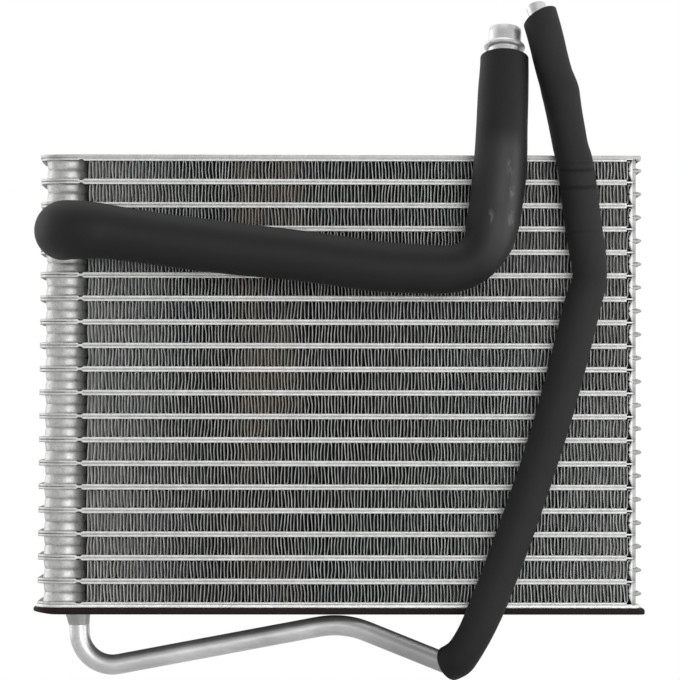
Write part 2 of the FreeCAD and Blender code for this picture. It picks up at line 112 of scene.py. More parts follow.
class FinSizes(bpy.types.PropertyGroup):
    """Sizes of the folded fins."""
    legs: IntProperty(name="Legs", description="Legs in one row", default=164, min=3)
    pitch: length("Leg pitch", "From one leg to the next", 1.61)
    sheet: length("Leg width", "Seen width of a louvred leg", 0.43)
    wander: length("Wander", "How far the legs sway", 0.8)
    color: swatch("Fin colour", "Edge of the fin sheet", (0.40, 0.41, 0.40))
    # Painted shade: the tone of the fin sheet inside the gaps.
    gap_painted_shade: swatch("Gap colour", "Fin sheet away from the faces", (0.10, 0.10, 0.10))
    # Painted light: the lighter tone of the gaps at the row's ends.
    row_end_painted_light: swatch(
        "Gap colour at the ends", "Fin sheet where the row is looked into", (0.75, 0.75, 0.73))


class PipeSizes(bpy.types.PropertyGroup):
    """Sizes of the two pipes."""
    suction_radius: length("Suction pipe", "Outer radius", 7.94)
    liquid_radius: length("Liquid pipe", "Outer radius", 4.92)
    color: swatch("Pipe colour", "Drawn aluminium tube", (0.69, 0.69, 0.69))


class FoamSizes(bpy.types.PropertyGroup):
    """Colours of the foam parts."""
    suction_color: swatch("Suction foam", "Smooth closed-cell foam", (0.0075, 0.0075, 0.008))
    liquid_color: swatch("Liquid foam", "Matte closed-cell foam", (0.014, 0.014, 0.0145))
    pad_color: swatch("Pad", "Foam pad", (0.009, 0.009, 0.009))


class StudioSizes(bpy.types.PropertyGroup):
    """Camera and lights."""
    lens: FloatProperty(name="Lens", description="Focal length in millimetres", default=283.5)
    floor_height: FloatProperty(
        name="Floor", description="Height of the floor", default=-0.25, unit="LENGTH")
    room_light: FloatProperty(name="Room", description="Strength of the room's light", default=0.55)


# Modelling helpers

def pick(*pieces):
    """Selects these pieces alone, the first one as the active object."""
    bpy.ops.object.select_all(action="DESELECT")
    for piece in pieces:
        piece.select_set(True)
    bpy.context.view_layer.objects.active = pieces[0]


def added(operator, name, **settings):
    """The object that an operator adds, with nothing else selected."""
    bpy.ops.object.select_all(action="DESELECT")
    operator(**settings)
    piece = bpy.context.object
    piece.name = name
    return piece


@contextmanager
def editing(piece, selection="DESELECT"):
    """Edit mode on one piece, with none or all of it selected."""
    pick(piece)
    bpy.ops.object.mode_set(mode="EDIT")
    bpy.ops.mesh.select_all(action=selection)
    try:
        yield piece
    finally:
        bpy.ops.object.mode_set(mode="OBJECT")


def select(piece, kind, test):
    """Selects the edges or the faces that pass a test."""
    bpy.ops.mesh.select_mode(type=kind)
    bpy.ops.mesh.select_all(action="DESELECT")
    mesh = bmesh.from_edit_mesh(piece.data)
    for element in mesh.edges if kind == "EDGE" else mesh.faces:
        if test(element):
            element.select_set(True)
    bmesh.update_edit_mesh(piece.data)


def near(a, b):
    return abs(a - b) < 0.01 * MM


def settle(piece):
    """Applies place, turn and scale, so that the object sits at the origin."""
    pick(piece)
    bpy.ops.object.transform_apply(location=True, rotation=True, scale=True)
    return piece


def outward(piece):
    """Merges doubles and turns every face outwards."""
    with editing(piece, "SELECT"):
        bpy.ops.mesh.remove_doubles(threshold=0.001 * MM)
        bpy.ops.mesh.normals_make_consistent(inside=False)
    return piece


def block(name, low, high):
    """A cube primitive with two opposite corners given."""
    piece = added(bpy.ops.mesh.primitive_cube_add, name, size=1)
    piece.location = (Vector(low) + Vector(high)) / 2
    piece.scale = Vector(high) - Vector(low)
    return settle(piece)


def bevel(piece, test, width, segments):
    """Rounds the edges whose ends both pass a test of their place."""
    with editing(piece):
        select(piece, "EDGE", lambda edge: all(test(v.co) for v in edge.verts))
        bpy.ops.mesh.bevel(offset=width, segments=segments, affect="EDGES", clamp_overlap=True)
    return piece


def round_corners(piece, x, radius):
    """Rounds the upright corners that stand at one place across the core."""
    def stands_there(edge):
        a, b = [v.co for v in edge.verts]
        return near(a.x, x) and near(b.x, x) and near(a.y, b.y)

    with editing(piece):
        select(piece, "EDGE", stands_there)
        bpy.ops.mesh.bevel(offset=radius, segments=14, affect="EDGES")
    return piece


def cut_off(piece, place, normal):
    """Cuts off what lies past a plane and closes the cut."""
    with editing(piece, "SELECT"):
        bpy.ops.mesh.bisect(plane_co=place, plane_no=normal, clear_outer=True, use_fill=True)
    return piece


def extrude(offset):
    bpy.ops.mesh.extrude_region_move(TRANSFORM_OT_translate={"value": offset})


def placed(points, x, z):
    """Points of an outline, given in millimetres from a place in metres."""
    return [(x + across * MM, z + up * MM) for across, up in points]


def profile_prism(name, profile, front, back):
    """An outline of (x, z) points, carried from the front to the back."""
    piece = added(
        bpy.ops.mesh.primitive_circle_add, name, vertices=len(profile), fill_type="NGON")
    for vertex, (x, z) in zip(piece.data.vertices, profile):
        vertex.co = (x, front, z)
    with editing(piece, "SELECT"):
        extrude((0, back - front, 0))
    return outward(piece)


def turned(name, start, axis, profile):
    """A round body given by (distance, radius) stations along an axis."""
    distance, radius = profile[0]
    piece = added(
        bpy.ops.mesh.primitive_circle_add, name, vertices=48, radius=radius, fill_type="NGON")
    with editing(piece, "SELECT"):
        for there, wide in profile[1:]:
            extrude((0, 0, there - distance))
            scale = wide / radius
            bpy.ops.transform.resize(value=(scale, scale, 1), center_override=(0, 0, there))
            distance, radius = there, wide
    piece.rotation_mode = "QUATERNION"
    piece.rotation_quaternion = Vector((0, 0, 1)).rotation_difference(Vector(axis))
    piece.location = start
    return outward(settle(piece))


def join(name, pieces):
    """Joins pieces to one object, under a new name."""
    pick(*pieces)
    bpy.ops.object.join()
    piece = bpy.context.object
    piece.name = name
    piece.data.name = name
    return piece


def smooth(piece, degrees=35):
    """Smooth shading, apart from edges that turn by more than an angle."""
    pick(piece)
    bpy.ops.object.shade_smooth_by_angle(angle=math.radians(degrees))
    return piece


def copy_up(piece, name, height):
    """A copy with its own mesh, a height further up."""
    pick(piece)
    bpy.ops.object.duplicate(linked=False)
    made = bpy.context.object
    made.name = name
    made.data.name = name
    made.location.z += height
    return settle(made)


def apply_modifier(piece, kind, **settings):
    pick(piece)
    modifier = piece.modifiers.new(kind.title(), kind)
    for key, value in settings.items():
        setattr(modifier, key, value)
    bpy.ops.object.modifier_apply(modifier=modifier.name)
    return piece


def lean_tank_end(piece, layer):
    """Moves a layer's tank end sideways, outward low in the stack and inward high in it.
    The topmost layers also lie a little closer together."""
    out = LEAN_OF_LOWEST + LEAN_PER_LAYER * layer
    drop = SQUEEZE_PER_LAYER * max(0, layer - SQUEEZED_ABOVE)
    for vertex in piece.data.vertices:
        x = vertex.co.x
        share = max(0, x / CHANNEL_LEFT) * 0.5
        if x < CHANNEL_LEFT:
            share = min(1, 0.5 + 0.5 * (CHANNEL_LEFT - x) / (CHANNEL_LEFT - LAND_RIGHT))
        vertex.co.x += out * share
        vertex.co.z += LEAN_LIFT * share - drop
    return piece


def finish_piece(piece, paint, slot, *nodes):
    """Gives a piece its material and its place in the frame."""
    piece.data.materials.clear()
    piece.data.materials.append(paint)
    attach(piece, "root")
    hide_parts(*nodes)
    return piece


# Materials

class Value:
    """A number that varies over a surface. An expression on values adds its Math nodes."""

    def __init__(self, paint, socket):
        self.paint = paint
        self.socket = socket

    def __add__(self, other):
        return self.paint.calculated("ADD", self, other)

    def __radd__(self, other):
        return self.paint.calculated("ADD", other, self)

    def __sub__(self, other):
        return self.paint.calculated("SUBTRACT", self, other)

    def __rsub__(self, other):
        return self.paint.calculated("SUBTRACT", other, self)

    def __mul__(self, other):
        return self.paint.calculated("MULTIPLY", self, other)

    def __rmul__(self, other):
        return self.paint.calculated("MULTIPLY", other, self)

    def __abs__(self):
        return self.paint.calculated("ABSOLUTE", self)

    def largest(self, other):
        return self.paint.calculated("MAXIMUM", self, other)

    def step(self, low, high):
        """From 0 at low to 1 at high, smoothly."""
        node = self.paint.node(
            "ShaderNodeMapRange", {"interpolation_type": "SMOOTHSTEP"},
            {"Value": self, "From Min": low, "From Max": high})
        return Value(self.paint, node.outputs["Result"])

    def band(self, rise, fall):
        """1 between two slopes, each given by its start and its end."""
        return self.step(*rise) * (1 - self.step(*fall))


class Paint:
    """Builds the nodes of one material or world."""

    def __init__(self, owner):
        owner.use_nodes = True
        self.owner = owner
        self.tree = owner.node_tree
        self.tree.nodes.clear()

    def node(self, kind, settings=None, inputs=None):
        """A node of any kind: first its settings, then the values or links of its sockets."""
        made = self.tree.nodes.new(kind)
        for key, value in (settings or {}).items():
            setattr(made, key, value)
        for key, value in (inputs or {}).items():
            self.feed(made.inputs[key], value)
        return made

    def feed(self, socket, value):
        if isinstance(value, Value):
            value = value.socket
        if isinstance(value, bpy.types.NodeSocket):
            self.tree.links.new(value, socket)
        else:
            socket.default_value = value

    def calculated(self, operation, *values):
        node = self.node("ShaderNodeMath", {"operation": operation}, dict(enumerate(values)))
        return Value(self, node.outputs[0])

    def ray(self, kind):
        """1 for light rays of one kind, 0 for all others."""
        return Value(self, self.node("ShaderNodeLightPath").outputs[kind])

    def place(self):
        return self.node("ShaderNodeTexCoord").outputs["Object"]

    def part(self, axis, vector=None):
        """One coordinate of a vector, or of the place on the piece where none is given."""
        if vector is None:
            vector = self.place()
        split = self.node("ShaderNodeSeparateXYZ", inputs={0: vector})
        return Value(self, split.outputs[axis])

    def noise(self, scale, detail=2.0, roughness=0.5, stretch=(1, 1, 1)):
        mapping = self.node(
            "ShaderNodeMapping", inputs={"Vector": self.place(), "Scale": stretch})
        node = self.node("ShaderNodeTexNoise", inputs={
            "Vector": mapping.outputs["Vector"], "Scale": scale, "Detail": detail,
            "Roughness": roughness})
        return Value(self, node.outputs["Fac"])

    def mixed(self, amount, one, other):
        """Colour between two colours."""
        node = self.node(
            "ShaderNodeMix", {"data_type": "RGBA"}, {0: amount, 6: one, 7: other})
        return node.outputs[2]

    def bump(self, height, strength, distance):
        inputs = {"Height": height, "Strength": strength, "Distance": distance}
        return self.node("ShaderNodeBump", inputs=inputs).outputs["Normal"]

    def surface(self, inputs):
        return self.finished(self.node("ShaderNodeBsdfPrincipled", inputs=inputs))

    def finished(self, shader, output="ShaderNodeOutputMaterial"):
        """Ends in a shader, and gives back the material or world."""
        self.node(output, inputs={"Surface": shader.outputs[0]})
        return self.owner


def rgb(color, scale=1.0):
    return (color[0] * scale, color[1] * scale, color[2] * scale, 1.0)


# Fixed tones, several of them painted light and shade, and zones given by where they rise and fall
# across (x) and up (z)
GUSSET_PAINTED_LIGHT = (0.92, 0.93, 0.94, 1)
PAINTED_FLAT_SHADE = (0.08, 0.08, 0.08, 1)
WARM_LEG = (0.25, 0.26, 0.255, 1)
COOL_LEG = (0.24, 0.26, 0.27, 1)
SEE_THROUGH_LIGHT_ON_LEGS = (0.30, 0.27, 0.22, 1)
SEE_THROUGH_LIGHT_IN_GAPS = (0.58, 0.54, 0.47, 1)
FOAM_PAINTED_HIGHLIGHT = (0.055, 0.055, 0.057, 1)
FOAM_PAINTED_GLINT = (0.16, 0.16, 0.165, 1)
PAD_EDGE = (0.017, 0.009, 0.008, 1)
SEE_THROUGH_LIGHT_ACROSS = ((-56 * MM, -44 * MM), (-24 * MM, -10 * MM))
HIGHLIGHT_ACROSS = ((64 * MM, 80 * MM), (84 * MM, 89 * MM))
HIGHLIGHT_UP = ((150 * MM, 175 * MM), (222 * MM, 236 * MM))


def plate_metal(name, color, flats=False, painted_shade=False):
    """Satin brazed aluminium with a mottled braze skin and faint rolling lines.
    With flats, level faces get painted shade, the gussets of the lips a painted highlight, and
    their outer strips a darker tone than the rest. A plate can also get painted shade toward its
    lower edge."""
    paint = Paint(bpy.data.materials.new(name))
    mottle = paint.noise(420, 4, 0.6)
    grain = paint.noise(1300, 2, 0.6)
    patches = paint.noise(60, 3)
    lines = paint.noise(900, 2, 0.5, (0.08, 1, 1))
    tone = (mottle * 0.35 + grain * 0.3 + patches * 0.2 + lines * 0.15).step(0.38, 0.62)
    seen = paint.mixed(tone, rgb(color, 0.84), rgb(color, 1.16))
    # Painted shade: the plate darkens toward its lower edge.
    if painted_shade:
        low = 1 - paint.part("Z").step(CORE_TOP - 1.9 * MM, CORE_TOP - 0.5 * MM)
        seen = paint.mixed(low * 0.6, seen, rgb(color, 0.42))
    if flats:
        x = paint.part("X")
        # Painted highlight: the gussets of the lips are lightened.
        gusset = x.band(
            (CHANNEL_RIGHT, CHANNEL_RIGHT + 0.6 * MM), (STRIP_LEFT - 0.4 * MM, STRIP_LEFT + 0.1 * MM))
        seen = paint.mixed(gusset * 0.3, seen, GUSSET_PAINTED_LIGHT)
        strip = x.step(STRIP_LEFT - 0.3 * MM, STRIP_LEFT)
        seen = paint.mixed(strip * 0.9, seen, rgb(color, 0.56))
        # Painted shade: level faces, deep in the stack, are darkened.
        normal = paint.node("ShaderNodeNewGeometry").outputs["Normal"]
        level = abs(paint.part("Z", normal)).step(0.85, 0.97)
        seen = paint.mixed(level * 0.75, seen, PAINTED_FLAT_SHADE)
    return paint.surface({
        "Base Color": seen,
        "Metallic": 0.75,
        "Roughness": patches * 0.15 + 0.37,
        "Normal": paint.bump(mottle, 0.12, 0.2 * MM),
    })


def fin_metal(sizes):
    """Thin fin sheet: each leg has its own tone, one zone has painted light seen through the rows,
    brownish on the legs and pale in the gaps, and the sheet inside the gaps is painted shade,
    lighter at the row's ends, which are looked into."""
    paint = Paint(bpy.data.materials.new("fin_metal"))
    x = paint.part("X")
    legs = paint.noise(1, 1, 0.5, (700, 30, 160))
    bands = paint.noise(18, 2)
    tone = (legs * 0.8 + bands * 0.2).step(0.3, 0.7)
    cool = paint.noise(9, 1).step(0.42, 0.58)
    dark_leg = paint.mixed(cool, WARM_LEG, COOL_LEG)
    plain = paint.mixed(tone, dark_leg, rgb(sizes.color, 1.25))
    # Painted light: one zone is tinted brownish on the legs and pale in the gaps, for light seen
    # through the rows.
    painted_see_through_light = x.band(*SEE_THROUGH_LIGHT_ACROSS) * bands.step(0.35, 0.6)
    seen = paint.mixed(painted_see_through_light * 0.7, plain, SEE_THROUGH_LIGHT_ON_LEGS)
    # Painted shade inside the gaps, lighter toward the row's ends.
    left_end = 1 - x.step(-125 * MM, -52 * MM)
    right_end = x.step(0, 165 * MM)
    painted_gap_light_and_shade = paint.mixed(left_end.largest(right_end), rgb(sizes.gap_painted_shade), rgb(sizes.row_end_painted_light))
    painted_gap_light_and_shade = paint.mixed(painted_see_through_light * 0.7, painted_gap_light_and_shade, SEE_THROUGH_LIGHT_IN_GAPS)
    middle = (FIN_LOW.y + FIN_HIGH.y) / 2
    reach = (FIN_HIGH.y - FIN_LOW.y) / 2
    at_face = abs(paint.part("Y") - middle).step(reach - 1.4 * MM, reach - 0.1 * MM)
    face = paint.node("ShaderNodeBsdfPrincipled", inputs={
        "Base Color": seen, "Metallic": 0.6, "Roughness": 0.5})
    gap = paint.node("ShaderNodeBsdfPrincipled", inputs={
        "Base Color": painted_gap_light_and_shade, "Metallic": 0.0, "Roughness": 1.0, "Specular IOR Level": 0.0})
    return paint.finished(paint.node("ShaderNodeMixShader", inputs={
        0: at_face, 1: gap.outputs[0], 2: face.outputs[0]}))


def pipe_metal(name, color):
    """Drawn aluminium tube with faint scratches along it, and painted shade at its lower right."""
    paint = Paint(bpy.data.materials.new(name))
    clouds = paint.noise(50, 3)
    scratch = paint.noise(700, 3, 0.6, (0.15, 1, 1))
    tone = (clouds * 0.6 + scratch * 0.4).step(0.3, 0.7)
    plain = paint.mixed(tone, rgb(color, 0.85), rgb(color, 1.12))
    # Painted shade: the tube darkens at its lower right.
    painted_light_mask = paint.part("X").step(0, 30 * MM) * (1 - paint.part("Z").step(50 * MM, 100 * MM))
    return paint.surface({
        "Base Color": paint.mixed(painted_light_mask * 0.7, plain, rgb(color, 0.45)),
        "Metallic": 0.85,
        "Roughness": clouds * 0.2 + 0.27,
        "Normal": paint.bump(scratch, 0.15, 0.1 * MM),
    })


def crease(height, middle, width):
    """1 on a fold at a height, fading to 0 on both sides."""
    return 1 - abs(height - middle).step(0, width)


def painted_glint_spot(x, z, spot):
    """1 at a spot of painted highlight, which is higher than it is wide, fading to 0 around it."""
    across, up, size = spot
    aside = (x - across * MM) * 2.4
    above = z - up * MM
    away = x.paint.calculated("SQRT", aside * aside + above * above)
    return 1 - away.step(0, size * MM)


def foam_skin(name, color, roughness, lumps, gloss, creases=(), spots=()):
    """Closed-cell foam: fine cells, soft lumps, a few scuffs, folds with painted shade and spots of
    painted highlight.
    A skin with gloss gets a smoother zone of painted highlight, and either foam gets painted shade at
    its foot."""
    paint = Paint(bpy.data.materials.new(name))
    cells = paint.noise(900, 3, 0.6)
    clouds = paint.noise(28, 3, 0.6)
    scuffs = paint.noise(90, 4, 0.7, (1, 1, 0.3)).step(0.64, 0.78)
    tone = (clouds * 0.7 + cells * 0.3).step(0.3, 0.7)
    plain = paint.mixed(tone, rgb(color, 0.78), rgb(color, 1.25))
    x = paint.part("X")
    z = paint.part("Z")
    # Painted highlight: a lighter, smoother zone on the right side of the suction sleeve's rise.
    painted_highlight_zone = x.band(*HIGHLIGHT_ACROSS) * z.band(*HIGHLIGHT_UP)
    height = cells * 0.4 + clouds * lumps
    slanted = z + paint.noise(60, 2) * (1.6 * MM) - x * 0.05
    seen = paint.mixed(scuffs * 0.25, plain, rgb(color, 2.6))
    seen = paint.mixed(painted_highlight_zone * gloss * 4, seen, FOAM_PAINTED_HIGHLIGHT)
    # Painted shade: the foam darkens toward its foot, low under the core.
    foot = 1 - z.step(-25 * MM, 8 * MM)
    seen = paint.mixed(foot * 0.8, seen, rgb(color, 0.25))
    rough = scuffs * 0.1 + roughness - painted_highlight_zone * gloss
    for middle, width, depth in creases:
        fold = crease(slanted, middle * MM, width * MM) * x.step(105 * MM, 111 * MM)
        height = height - fold * depth
        # Painted shade: the colour darkens along the fold.
        seen = paint.mixed(fold * 0.2 * depth, seen, rgb(color, 0.1))
    for spot in spots:
        # Painted highlight: a lighter, smoother spot.
        painted_light_mask = painted_glint_spot(x, z, spot) * paint.noise(260, 3, 0.6, (1.6, 1, 0.7)).step(0.42, 0.62)
        seen = paint.mixed(painted_light_mask * 0.7, seen, FOAM_PAINTED_GLINT)
        rough = rough - painted_light_mask * 0.12
    return paint.surface({
        "Base Color": seen,
        "Roughness": rough,
        "Specular IOR Level": 0.35,
        "Normal": paint.bump(height, 0.35, 0.6 * MM),
    })


def pad_skin(color):
    """Black pad whose cut upper edge is a shade browner."""
    paint = Paint(bpy.data.materials.new("pad_foam"))
    cells = paint.noise(900, 3, 0.6)
    brown = paint.part("Z").step(0.9 * MM, 2.0 * MM)
    base = paint.mixed(brown, rgb(color), PAD_EDGE)
    return paint.surface({
        "Base Color": paint.mixed(cells.step(0.55, 0.8) * 0.3, base, rgb(color, 3.0)),
        "Roughness": 0.7,
        "Specular IOR Level": 0.2,
        "Normal": paint.bump(cells, 0.4, 0.4 * MM),
    })


# Drawn plates

# A tank cup: the radius of its round ends, half the length of its straight sides, and how
# far from the plate's middle it stands. Its stations are in mm: height from the land's face
# or from the tip, and what comes to the radius there
CUP_RADIUS = 10.1 * MM
CUP_STRAIGHT = 5.325 * MM
CUP_OFFSET = 17.825 * MM
CUP_RISE = [(-0.15, 0.35), (0.2, 0.18), (0.7, 0.1), (1.4, 0.0)]
CUP_CREST = [(-1.3, -0.12), (-0.85, -0.24), (-0.42, -0.38), (-0.14, -0.48), (0, -0.56)]

# The parts of a lip: how far each stays back from the faces, and its outline in mm from the
# plate's right end. Its edges are rounded up to LIP_TOP
LIP_TOP = 5.5 * MM
LIP_PARTS = [
    ("lip_gusset", 1.7 * MM, [
        (-2.3, 0.0), (-2.35, 0.7), (-2.9, 2.2), (-3.55, 3.6), (-3.8, 4.5), (-3.75, 4.95),
        (-3.5, 5.35), (-3.0, 5.6), (-1.7, 5.66), (-1.7, 0.0)]),
    ("lip_strip", 1.6 * MM, [
        (-1.9, 0.0), (-1.9, 5.66), (2.15, 5.66), (2.28, 5.56), (2.0, 5.2), (1.4, 4.85),
        (0.6, 4.62), (-0.1, 4.5), (-0.4, 4.2), (-0.4, 0.0)]),
    ("lip_foot", 1.25 * MM, [
        (-2.9, 5.66), (-2.5, 5.25), (-1.7, 4.9), (-0.7, 4.68), (0.4, 4.64), (1.3, 4.78),
        (2.0, 5.08), (2.32, 5.48), (2.32, 5.66)]),
]


def tank_cup(sizes, y):
    """Stadium-shaped cup that rises from its land and rounds over at its tip."""
    stations = placed(CUP_RISE, sizes.half_height, CUP_RADIUS)
    stations += placed(CUP_CREST, PITCH / 2, CUP_RADIUS)
    height, radius = stations[0]
    sides = 56
    piece = added(
        bpy.ops.mesh.primitive_circle_add, "tank_cup", vertices=sides, radius=radius,
        fill_type="NGON")
    piece.rotation_euler.z = math.pi / sides
    settle(piece)
    for vertex in piece.data.vertices:
        vertex.co.y += math.copysign(CUP_STRAIGHT, vertex.co.y)
        vertex.co.z = height
    with editing(piece, "SELECT"):
        for there, wide in stations[1:]:
            extrude((0, 0, there - height))
            scale = (wide / radius, (wide + CUP_STRAIGHT) / (radius + CUP_STRAIGHT), 1)
            bpy.ops.transform.resize(value=scale, center_override=(0, 0, there))
            height, radius = there, wide
    piece.location = (TANK_X, y, 0)
    return outward(settle(piece))


def tank_land(sizes):
    """The flat round-cornered land about the cups, with a slope toward the neck."""
    base = sizes.joint_gap * 0.4
    top = sizes.half_height
    end = LAND_RIGHT + 0.9 * MM
    land = block("tank_land", (LEFT, FRONT, base), (end, BACK, top))
    round_corners(land, LEFT, LAND_CORNER)
    cut_off(land, (end, 0, 0.5 * MM), (0.9, 0, 1.2))
    bevel(land, lambda v: near(v.z, top), sizes.land_round, 3)
    bevel(land, lambda v: near(v.z, base), sizes.land_round * 0.7, 2)
    return land


def channel(sizes):
    """The raised flow channel, with a slope toward the neck."""
    base = sizes.joint_gap
    top = sizes.half_height
    body = block("channel", (CHANNEL_LEFT, FRONT, base), (CHANNEL_RIGHT, BACK, top))
    cut_off(body, (CHANNEL_LEFT, 0, 0.55 * MM), (-0.85, 0, 2.0))
    bevel(body, lambda v: near(v.z, top), sizes.channel_round, 3)
    bevel(body, lambda v: near(v.z, base), sizes.channel_round * 0.9, 2)
    return body


def rims(sizes):
    """The flat rim in the seam, the rim and the recessed floor of the neck, and the rim
    beside the lip, each with its left and right ends, recess and height."""
    high = sizes.rim_height
    made = []
    for name, left, right, recess, height in (
            ("seam_rim", TANK_X, RIGHT - 0.9 * MM, 0.32 * MM, high - 0.06 * MM),
            ("neck_rim", LAND_RIGHT, CHANNEL_LEFT + 0.6 * MM, 0.08 * MM, 0.62 * MM),
            ("neck_floor", LAND_RIGHT, CHANNEL_LEFT + 1.5 * MM, 10.0 * MM, 1.1 * MM),
            ("lip_rim", CHANNEL_RIGHT - 0.5 * MM, STRIP_LEFT, 0.05 * MM, high + 0.02 * MM)):
        rim = block(name, (left, FRONT + recess, 0), (right, BACK - recess, height))
        made.append(bevel(rim, lambda v: near(v.z, height), 0.1 * MM, 2))
    return made


def lip_pieces():
    """The folded lip at the right end: its gusset, its outer strip and its pointed foot."""
    made = []
    for name, recess, points in LIP_PARTS:
        front, back = FRONT + recess, BACK - recess
        body = profile_prism(name, placed(points, RIGHT, 0), front, back)
        bevel(body, lambda v: v.z < LIP_TOP and (near(v.y, front) or near(v.y, back)), 0.22 * MM, 2)
        made.append(body)
    return made


def drawn_plate(sizes):
    """One plate about the joint plane at height 0, drawn upward."""
    cups = [tank_cup(sizes, y) for y in (-CUP_OFFSET, CUP_OFFSET)]
    pieces = [tank_land(sizes), channel(sizes)] + rims(sizes) + cups + lip_pieces()
    return join("drawn_plate", pieces)


def upside_down(piece):
    """Turns a plate about the joint plane."""
    pick(piece)
    piece.scale.z = -1
    settle(piece)
    with editing(piece, "SELECT"):
        bpy.ops.mesh.normals_make_consistent(inside=False)
    return piece


class EVAPORATOR_OT_plates(bpy.types.Operator):
    """Model one drawn plate and stack it, rim to rim, at the plate pitch"""
    bl_idname = "evaporator.plates"
    bl_label = "Drawn plates"

    def execute(self, context):
        sizes = context.scene.evaporator_plates
        paint = plate_metal("plate_metal", sizes.color, flats=True)
        upper = drawn_plate(sizes)
        lower = upside_down(copy_up(upper, "lower_plate", 0))
        bottom = copy_up(upper, "bottom_plate_piece", FIRST_JOINT)
        top = copy_up(lower, "top_plate_piece", LAST_JOINT)
        lean_tank_end(bottom, 0)
        lean_tank_end(top, len(FINS))
        pair = join("pair", [upper, lower])
        for number, node in enumerate(PAIRS, start=1):
            piece = copy_up(pair, "pair_piece_%02d" % number, FIRST_JOINT + PITCH * number)
            lean_tank_end(piece, number)
            finish_piece(smooth(piece), paint, "plates", node)
        finish_piece(smooth(bottom), paint, "plates", "bottom_drawn_plate")
        finish_piece(smooth(top), paint, "plates", "top_drawn_plate")
        bpy.data.objects.remove(pair)
        return {"FINISHED"}


# Fins

# How far a fold reaches into the plates, how a leg leads from the front to the back (steps
# aside in mm, each over a share of the row's depth), and how far a row sways as a whole
FIN_BITE = 0.12 * MM
FIN_LOUVRES = [(0.1, 0.014), (1.5, 0.075), (-3.1, 0.836), (1.5, 0.075)]
BROAD_SWAY = 1.4 * MM


def fin_sheet(sizes):
    """One row of fins, folded to and fro, about its lower plate's face at height 0."""
    height = FIN_HIGH.z - FIN_LOW.z
    depth = FIN_HIGH.y - FIN_LOW.y
    pitch = sizes.pitch
    low = -FIN_BITE
    high = height + FIN_BITE
    crest = [(0.5 * MM, 0.0), (0.26 * MM, 0.25 * MM), (0.06 * MM, 1.1 * MM)]
    path = [(0.0, low)]
    path += [(pitch / 2 - aside, low + up) for aside, up in crest]
    path += [(pitch / 2, height / 2)]
    path += [(pitch / 2 + aside, high - down) for aside, down in reversed(crest)]
    path += [(3 * pitch / 2 - aside, high - down) for aside, down in crest]
    path += [(3 * pitch / 2, height / 2)]
    path += [(3 * pitch / 2 + aside, low + up) for aside, up in reversed(crest)]
    path += [(2 * pitch, low)]
    piece = added(
        bpy.ops.mesh.primitive_circle_add, "fin_sheet", vertices=len(path), fill_type="NOTHING")
    for vertex, (x, z) in zip(piece.data.vertices, path):
        vertex.co = (FIN_LOW.x - 0.5 * MM + x, FIN_LOW.y, z)
    with editing(piece):
        mesh = bmesh.from_edit_mesh(piece.data)
        ends = {0, len(path) - 1}
        closing = [e for e in mesh.edges if {v.index for v in e.verts} == ends]
        bmesh.ops.delete(mesh, geom=closing, context="EDGES_FACES")
        bmesh.update_edit_mesh(piece.data)
        bpy.ops.mesh.select_all(action="SELECT")
        for aside, share in FIN_LOUVRES:
            extrude((aside * MM, depth * share, 0))
    return apply_modifier(
        piece, "ARRAY", count=sizes.legs // 2, use_relative_offset=False,
        use_constant_offset=True, constant_offset_displace=(2 * pitch, 0, 0),
        use_merge_vertices=True, merge_threshold=0.01 * MM)


def sway_texture(name, scale):
    texture = bpy.data.textures.new(name, "CLOUDS")
    texture.noise_scale = scale
    texture.noise_depth = 1
    return texture


def trim_row(row, middle):
    """Keeps a swayed row's ends in line, the right one longer toward the plates."""
    for vertex in row.data.vertices:
        end = FIN_HIGH.x + 0.35 * MM + abs(vertex.co.z - middle) * 0.3
        vertex.co.x = min(max(vertex.co.x, FIN_LOW.x - 0.3 * MM), end)
    return row


class EVAPORATOR_OT_fins(bpy.types.Operator):
    """Fold one row of fins and lay a swayed copy between each two plates"""
    bl_idname = "evaporator.fins"
    bl_label = "Folded fins"

    def execute(self, context):
        sizes = context.scene.evaporator_fins
        paint = fin_metal(sizes)
        master = fin_sheet(sizes)
        sways = [
            (sway_texture("fine_sway", 4.5 * MM), sizes.wander),
            (sway_texture("broad_sway", 14 * MM), BROAD_SWAY)]
        for number, node in enumerate(FINS):
            base = FIN_LOW.z + PITCH * number
            row = copy_up(master, "fin_piece_%02d" % (number + 1), base)
            for texture, strength in sways:
                apply_modifier(
                    row, "DISPLACE", texture=texture, direction="X", texture_coords="LOCAL",
                    strength=strength, mid_level=0.5)
            apply_modifier(row, "SOLIDIFY", thickness=sizes.sheet, offset=0)
            trim_row(row, base + (FIN_HIGH.z - FIN_LOW.z) / 2)
            lean_tank_end(row, number + 0.5)
            finish_piece(smooth(row, 50), paint, "fins", node)
        bpy.data.objects.remove(master)
        return {"FINISHED"}


# End plates and pad

# The curled right end of the upper end plate, in mm from the plate's right end: the lower
# points from the topmost joint, the upper ones from the plate's face
CURL_BELOW = [
    (-3.4, 0.2), (-2.6, -0.2), (-2.2, -0.9), (-1.6, -1.25), (-0.9, -1.2), (-0.3, -0.7), (0, 0.1)]
CURL_ABOVE = [(-0.1, -0.85), (-0.6, -0.3), (-1.4, -0.02), (-3.4, -0.02)]

# Round corners at the left, and the underside's rise toward the pad's left end
END_PLATE_CORNER = 13.6 * MM
PAD_CORNER = 15.6 * MM
PAD_BEVEL_LENGTH = 10 * MM
PAD_BEVEL_RISE = 1.4 * MM
PAD_EXTRA_LENGTH = 0.5 * MM


def rounded_plate(name, low, high, left_corner, right_corner):
    plate = block(name, low, high)
    round_corners(plate, low[0], left_corner)
    round_corners(plate, high[0], right_corner)
    return plate


